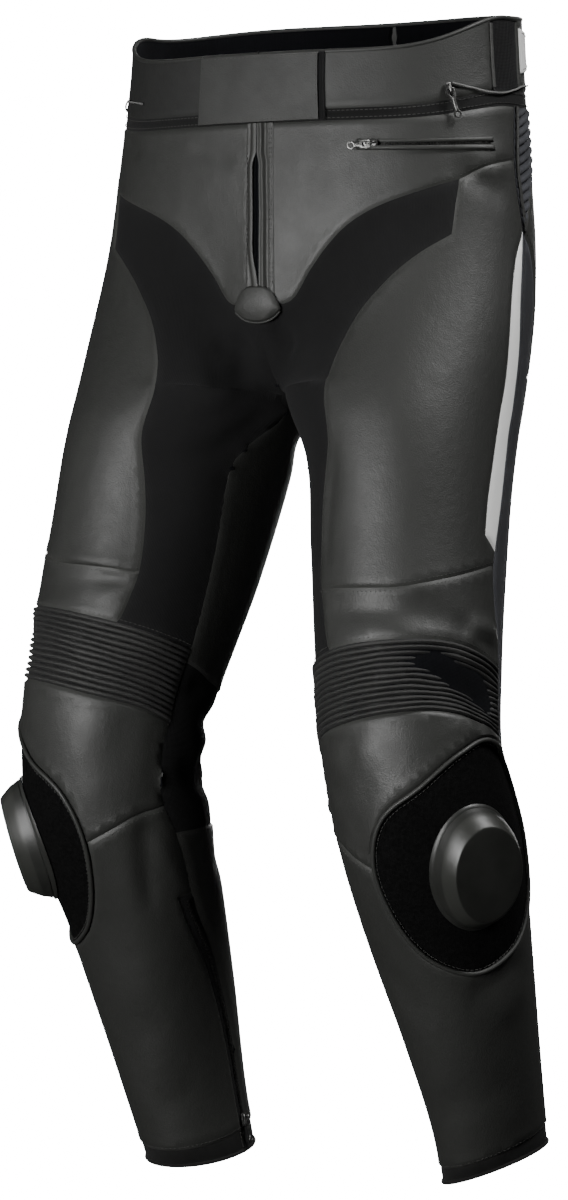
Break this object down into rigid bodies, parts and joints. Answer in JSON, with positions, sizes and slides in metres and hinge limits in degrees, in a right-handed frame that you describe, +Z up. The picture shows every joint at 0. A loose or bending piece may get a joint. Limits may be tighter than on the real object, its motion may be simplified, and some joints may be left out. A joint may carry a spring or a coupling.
{
  "type": "motorcycle trousers",
  "caption": "Leather motorcycle trousers filled out as worn, with stretch panels, ribbed knees, knee slider pucks and zips.",
  "frame": {"origin": "middle of the waist opening, where the wearer holds the trousers up", "axes": "+Z up out of the waist, -Y the garment's front, +X the wearer's left"},
  "size_m": [0.5026, 0.329, 1.0244],
  "materials": {
    "leather": "soft satin, fine grain",
    "belt_leather": "satin, stitched edges",
    "stretch": "matt woven stretch cloth",
    "grey_stretch": "matt stretch cloth with a fine rib",
    "hook_cloth": "matt looped cloth",
    "tape": "matt woven tape",
    "white_leather": "satin",
    "grey_cloth": "matt cloth",
    "elastic": "matt ribbed elastic",
    "puck_plastic": "satin moulded",
    "cuff_cloth": "matt bound edge",
    "zip_metal": "dark cast metal"
  },
  "bodies": {
    "trousers": {"band_front_left": "belt_leather", "band_elastic_left": "elastic", "hip_ribs_left": "grey_stretch", "stretch_left": "stretch", "thigh_left": "leather", "stripe_left": "white_leather", "outer_thigh_left": "grey_stretch", "seat_left": "leather", "back_thigh_left": "leather", "above_knee_left": "leather", "knee_ribs_left": "stretch", "knee_left": "leather", "hook_panel_left": "hook_cloth", "knee_back_left": "stretch", "shin_left": "leather", "calf_left": "leather", "cuff_left": "cuff_cloth", "calf_zip_left": "tape", "front_left": "leather", "slider_puck_left": "puck_plastic", "side_tab_left": "grey_cloth", "band_front_right": "belt_leather", "band_elastic_right": "elastic", "hip_ribs_right": "grey_stretch", "stretch_right": "stretch", "thigh_right": "leather", "stripe_right": "white_leather", "outer_thigh_right": "grey_stretch", "seat_right": "leather", "back_thigh_right": "leather", "above_knee_right": "leather", "knee_ribs_right": "stretch", "knee_right": "leather", "hook_panel_right": "hook_cloth", "knee_back_right": "stretch", "shin_right": "leather", "calf_right": "leather", "cuff_right": "cuff_cloth", "calf_zip_right": "tape", "front_right": "leather", "slider_puck_right": "puck_plastic", "side_tab_right": "grey_cloth", "band_back": "belt_leather", "waist_zip": "tape", "fly_zip": "tape", "belt_tab": "belt_leather", "belt_tab_end": "elastic", "fly_facing_right": "leather", "fly_facing_left": "leather", "fly_tab": "leather", "pocket_zip": "tape", "waist_zip_slider": "zip_metal", "pocket_zip_slider": "zip_metal", "calf_zip_left_slider": "zip_metal", "calf_zip_right_slider": "zip_metal"},
    "waist_pull_tab": {"waist_zip_pull": "zip_metal"},
    "pocket_pull_tab": {"pocket_zip_pull": "zip_metal"},
    "calf_pull_tab_left": {"calf_zip_left_pull": "zip_metal"},
    "calf_pull_tab_right": {"calf_zip_right_pull": "zip_metal"}
  },
  "joints": [
    {"name": "calf_left_pull_hinge", "type": "hinge", "parent": "trousers", "child": "calf_pull_tab_left", "pos_m": [0.09868, 0.02538, -0.95074], "axis": [-0.0177, 0.9389, 0.3438], "range_deg": [0, 150]},
    {"name": "calf_right_pull_hinge", "type": "hinge", "parent": "trousers", "child": "calf_pull_tab_right", "pos_m": [-0.09868, 0.02539, -0.93902], "axis": [-0.016, -0.9479, -0.3183], "range_deg": [0, 150]},
    {"name": "pocket_pull_hinge", "type": "hinge", "parent": "trousers", "child": "pocket_pull_tab", "pos_m": [0.10718, -0.12076, -0.08649], "axis": [-0.1107, 0.0207, 0.9936], "range_deg": [0, 150]},
    {"name": "waist_pull_hinge", "type": "hinge", "parent": "trousers", "child": "waist_pull_tab", "pos_m": [0.16303, -0.08064, -0.0398], "axis": [-0.649, -0.7112, -0.27], "range_deg": [0, 150]}
  ]
}
